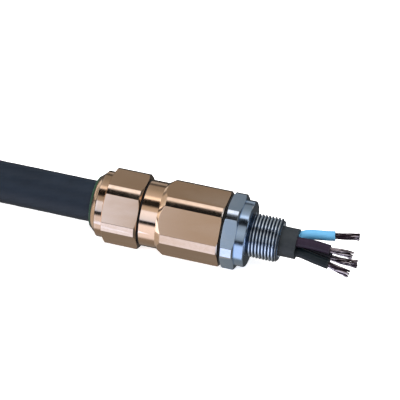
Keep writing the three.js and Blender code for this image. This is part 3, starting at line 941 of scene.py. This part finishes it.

# %% [markdown]
# The sheath, the armour, the bedding, the cores and the strands hang on one body, so none of
# them moves alone and everything in the cable moves together.

# %% [markdown]
# ## Outer seal nut
# A rounded nose, a narrow turned band, and a hexagon with a turned chamfer at each end. A
# six-sided cylinder could be bevelled, but a round blank that is spun and then milled, as the
# maker does it, gives every flat its true curved chamfer.

# %% Nut
COLLAR_R = 15.2
CORNER_R = 17.3
NOSE_BORE_R = 10.4
MOUTH_R = 11.6
NUT_BORE_R = 13.7
nut_shoulder = BODY_REAR - 1.6
mouth_floor = NUT_REAR + 4.1
rim = NUT_REAR - 1.1  # the nose seal stands this far proud of the brass
nut_outline = [
    (mouth_floor, NOSE_BORE_R), (mouth_floor, MOUTH_R), (rim + 1.65, MOUTH_R), (rim + 1.15, 12.1),
    (rim + 1.1, 12.2), (rim + 1.12, 12.4), (rim + 1.3, 12.7), (rim + 1.7, 13.1), (rim + 2.2, 13.55),
    (rim + 2.7, 13.97), (rim + 3.15, 14.33), (rim + 3.45, 14.6), (rim + 3.52, 14.9),
    (rim + 3.75, COLLAR_R), (rim + 6.9, COLLAR_R), (rim + 7.0, COLLAR_R + 0.1),
    (rim + 7.7, CORNER_R), (NUT_FRONT - 0.9, CORNER_R), (NUT_FRONT - 0.15, 16.35),
    (NUT_FRONT, 16.1), (NUT_FRONT, NUT_BORE_R + 0.7), (NUT_FRONT - 0.7, NUT_BORE_R),
    *thread_blank(nut_shoulder + 2.5, NUT_FRONT - 0.7, NUT_BORE_R)[::-1],
    (nut_shoulder, NUT_BORE_R), (nut_shoulder, NOSE_BORE_R),
]
nut_bm = turned(nut_outline)
cut_thread(nut_bm, nut_shoulder + 2.5, NUT_FRONT - 0.7, NUT_BORE_R, 0.8, inside=True)
mill_flats(nut_bm)
ease_flats(nut_bm, BRASS_EASE)
make_piece(nut_bm, "hexagon_nut", "nut", "outer_seal_nut", [turned_brass, milled_brass])
nose_seal_outline = [
    (rim + 0.15, SHEATH_R + 0.25), (rim + 0.03, SHEATH_R + 0.32), (rim, SHEATH_R + 0.45), (rim, 11.2),
    (rim + 0.06, 11.55), (rim + 0.2, 11.85), (rim + 0.42, 12.05), (rim + 0.7, 12.12), (rim + 1.08, 12.12),
    (rim + 1.35, MOUTH_R - 0.2), (mouth_floor - 0.2, MOUTH_R - 0.2), (mouth_floor - 0.2, SHEATH_R + 0.25),
]
make_piece(turned(nose_seal_outline), "mouth_seal", "nut", "nose_seal", [seal_rubber])

# %% [markdown]
# ## Gland body
# The rear thread carries the nut; the round collar and its cone lead to the long hexagon. Its
# threads could be separate sleeves, but with both in one outline the body stays one solid.

# %% Body
SEAL_POCKET_R = 11.6
BODY_BORE_R = 9.95
CHAMBER_R = 14.1
REAR_THREAD_R = NUT_BORE_R - 0.3
collar_rear = NUT_FRONT + 0.7
body_hex_rear = collar_rear + 10.7
chamber_rear = SPIGOT_REAR - 7.7
pocket_floor = BODY_REAR + 11.6
thread_rear, thread_front = BODY_REAR + 0.4, collar_rear - 1.2
body_outline = [
    (BODY_REAR, SEAL_POCKET_R), (BODY_REAR, REAR_THREAD_R - THREAD_DEPTH),
    (thread_rear - STEP_IN, REAR_THREAD_R - THREAD_DEPTH),
    *thread_blank(thread_rear, thread_front, REAR_THREAD_R),
    (thread_front + STEP_IN, REAR_THREAD_R - THREAD_DEPTH),
    (collar_rear, REAR_THREAD_R - THREAD_DEPTH), (collar_rear, COLLAR_R - 0.35),
    *arc(collar_rear + 0.35, COLLAR_R - 0.35, 0.35, 180, 90, 3),
    (body_hex_rear - 3.1, COLLAR_R), (body_hex_rear - 2.95, COLLAR_R + 0.04), (body_hex_rear, CORNER_R),
    (BODY_FRONT - 0.55, CORNER_R), (BODY_FRONT - 0.1, 16.75), (BODY_FRONT, 16.55),
    (BODY_FRONT, CHAMBER_R + 0.6), (BODY_FRONT - 0.6, CHAMBER_R),
    *thread_blank(SPIGOT_REAR, BODY_FRONT - 0.6, CHAMBER_R)[::-1],
    (chamber_rear, CHAMBER_R), (chamber_rear, BODY_BORE_R),
    (pocket_floor, BODY_BORE_R), (pocket_floor - 2.2, SEAL_POCKET_R),
]
body_bm = turned(body_outline)
cut_thread(body_bm, thread_rear, thread_front, REAR_THREAD_R, 0.9)
cut_thread(body_bm, SPIGOT_REAR, BODY_FRONT - 0.6, CHAMBER_R, 0.8, inside=True)
mill_flats(body_bm)
ease_flats(body_bm, BRASS_EASE)
make_piece(body_bm, "hexagon_body", "body", "gland_body", [turned_brass, milled_brass])

# %% [markdown]
# ## Entry item
# Nickel-plated: a thin hexagon, the round flange that meets the enclosure, and the entry thread.
# A bump could draw the thread, but its outline would stay straight. It shows most, so its blank
# has more rings than the hidden ones, and its finish has painted shade down in the grooves.

# %% Entry item
ENTRY_R = 10.0
BODY_SEAM = 1.1
ENTRY_BORE_R = 7.6
POCKET_R = 10.6
SPIGOT_THREAD_R = CHAMBER_R - 0.3
entry_hex_rear = BODY_FRONT + BODY_SEAM
entry_hex_front = entry_hex_rear + 6.2
shoulder = entry_hex_front + 4.3
pocket_front = entry_hex_rear + 2.5
spigot_thread = (SPIGOT_REAR + 0.2, BODY_FRONT - 0.5)
entry_thread = (shoulder + 0.5, ENTRY_END - 0.4)
spigot_root = SPIGOT_THREAD_R - THREAD_DEPTH
entry_root = ENTRY_R - THREAD_DEPTH
entry_outline = [
    (SPIGOT_REAR, POCKET_R), (SPIGOT_REAR, spigot_root), (spigot_thread[0] - STEP_IN, spigot_root),
    *thread_blank(*spigot_thread, SPIGOT_THREAD_R),
    (spigot_thread[1] + STEP_IN, spigot_root), (entry_hex_rear, spigot_root),
    (entry_hex_rear, 16.3), (entry_hex_rear + 0.1, 16.6), (entry_hex_rear + 0.5, CORNER_R),
    (entry_hex_front - 0.75, CORNER_R), (entry_hex_front - 0.15, 16.45), (entry_hex_front, 16.15),
    (entry_hex_front, COLLAR_R - 0.1), (shoulder - 0.8, COLLAR_R - 0.1),
    *arc(shoulder - 0.8, COLLAR_R - 0.9, 0.8, 90, 0, 5),
    (shoulder, ENTRY_R + 0.5), (shoulder - 0.25, ENTRY_R + 0.25), (shoulder - 0.25, entry_root),
    (entry_thread[0] - STEP_IN, entry_root),
    *thread_blank(*entry_thread, ENTRY_R, SHOWN_RINGS),
    (entry_thread[1] + STEP_IN, entry_root), (ENTRY_END - 0.1, entry_root - 0.05),
    (ENTRY_END, entry_root - 0.2), (ENTRY_END, ENTRY_BORE_R + 0.9), (ENTRY_END - 1.0, ENTRY_BORE_R),
    (pocket_front + 1.6, ENTRY_BORE_R), (pocket_front, POCKET_R),
]
entry_bm = turned(entry_outline)
cut_thread(entry_bm, *spigot_thread, SPIGOT_THREAD_R, 0.9)
cut_thread(entry_bm, *entry_thread, ENTRY_R, 0.6)
for face in entry_bm.faces:
    middle = face.calc_center_median()
    if middle.x > shoulder + 0.1 and math.hypot(middle.y, middle.z) > entry_root - 0.1:
        face.material_index = THREAD_SLOT
mill_flats(entry_bm)
ease_flats(entry_bm, NICKEL_EASE)
make_piece(entry_bm, "threaded_entry", "root", "entry_item",
           [turned_nickel, milled_nickel, thread_nickel])

# %% [markdown]
# ## Seals, rings and washers
# Rubber rings are pressed to an oval section between the metal faces, and the inner pieces
# follow their pockets. A torus would be too round, so each is an outline, spun like the rest.

# %% O-rings


def ring_outline(x, r, half_x, half_r, count=20):
    return [(x + half_x * math.cos(math.tau * i / count), r + half_r * math.sin(math.tau * i / count))
            for i in range(count)]


make_piece(turned(ring_outline(NUT_FRONT + 0.35, 14.1, 0.3, 0.85)), "nut_seam_ring", "body",
           "nut_o_ring", [ring_rubber])
make_piece(turned(ring_outline(BODY_FRONT + BODY_SEAM / 2, 14.5, 0.45, 1.4)), "body_seam_ring", "root",
           "body_o_ring", [ring_rubber])

# %% Outer seal and skid washer
seal_bore = SHEATH_R + 0.2
seal_outline = [
    (BODY_REAR - 0.1, seal_bore), (BODY_REAR - 0.1, SEAL_POCKET_R - 0.4),
    (BODY_REAR, SEAL_POCKET_R - 0.25), (pocket_floor - 2.6, SEAL_POCKET_R - 0.25),
    (pocket_floor - 0.9, seal_bore + 0.45), (pocket_floor - 0.9, seal_bore),
]
make_piece(turned(seal_outline), "wedge_seal", "body", "outer_seal", [seal_rubber])
skid_rear = BODY_REAR - 1.3
skid_outline = [(skid_rear, 10.5), (skid_rear + 0.1, 10.4), (skid_rear + 0.9, 10.4),
                (skid_rear + 1, 10.5), (skid_rear + 1, 13.1), (skid_rear + 0.9, 13.2),
                (skid_rear + 0.1, 13.2), (skid_rear, 13.1)]
make_piece(turned(skid_outline), "slip_washer", "washer", "skid_washer", [nylon])

# %% Clamping ring and cone
clamp_low, clamp_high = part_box("armour_clamping_ring")
clamp_rear, clamp_front = clamp_low.x / MM, clamp_high.x / MM
clamp_r = CHAMBER_R - 0.35


def clamp_inside(x):
    return CLAMP_AT_TIP + (x - CONE_TIP) * ARMOUR_SLOPE


clamp_outline = [
    (clamp_rear, clamp_inside(clamp_rear)), (clamp_rear, clamp_r - 0.6),
    *arc(clamp_rear + 0.6, clamp_r - 0.6, 0.6, 180, 90, 5),
    (clamp_front - 0.15, clamp_r), (clamp_front, clamp_r - 0.15),
    (clamp_front, clamp_inside(clamp_front)),
]
make_piece(turned(clamp_outline), "clamping_ring", "clamp", "armour_clamping_ring",
           [plain_brass])
_, cone_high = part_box("armour_cone")
cone_flange, spigot_tip = SPIGOT_REAR - 1.3, cone_high.x / MM
cone_top = CONE_AT_TIP + (cone_flange - CONE_TIP) * ARMOUR_SLOPE
cone_bore = BEDDING_R + 0.3
cone_outline = [
    (CONE_TIP, cone_bore + 0.1), (CONE_TIP, 7.5), (CONE_TIP + 0.15, 7.62), (cone_flange, cone_top),
    (cone_flange + 0.2, 11.1), (cone_flange + 0.3, 11.2), (SPIGOT_REAR - 0.25, 11.2),
    (SPIGOT_REAR - 0.25, 10.3), (spigot_tip - 0.3, 10.3), (spigot_tip, 10.0), (spigot_tip, cone_bore),
]
make_piece(turned(cone_outline), "wire_cone", "root", "armour_cone", [plain_brass])

# %% Inner seal and washer
inner_outline = [
    (spigot_tip + 1.5, 7.1), (spigot_tip + 1.5, 10.2), (spigot_tip + 1.65, 10.35),
    (pocket_front - 0.6, 10.35), (pocket_front + 0.7, 7.9), (pocket_front + 0.7, 7.1),
]
make_piece(turned(inner_outline), "bedding_seal", "root", "inner_seal", [seal_rubber])
washer_outline = [(spigot_tip + 0.25, 7.2), (spigot_tip + 0.25, 10.3), (spigot_tip + 1.3, 10.3),
                  (spigot_tip + 1.3, 7.2)]
make_piece(turned(washer_outline), "bedding_washer", "root", "inner_seal_washer",
           [nylon])
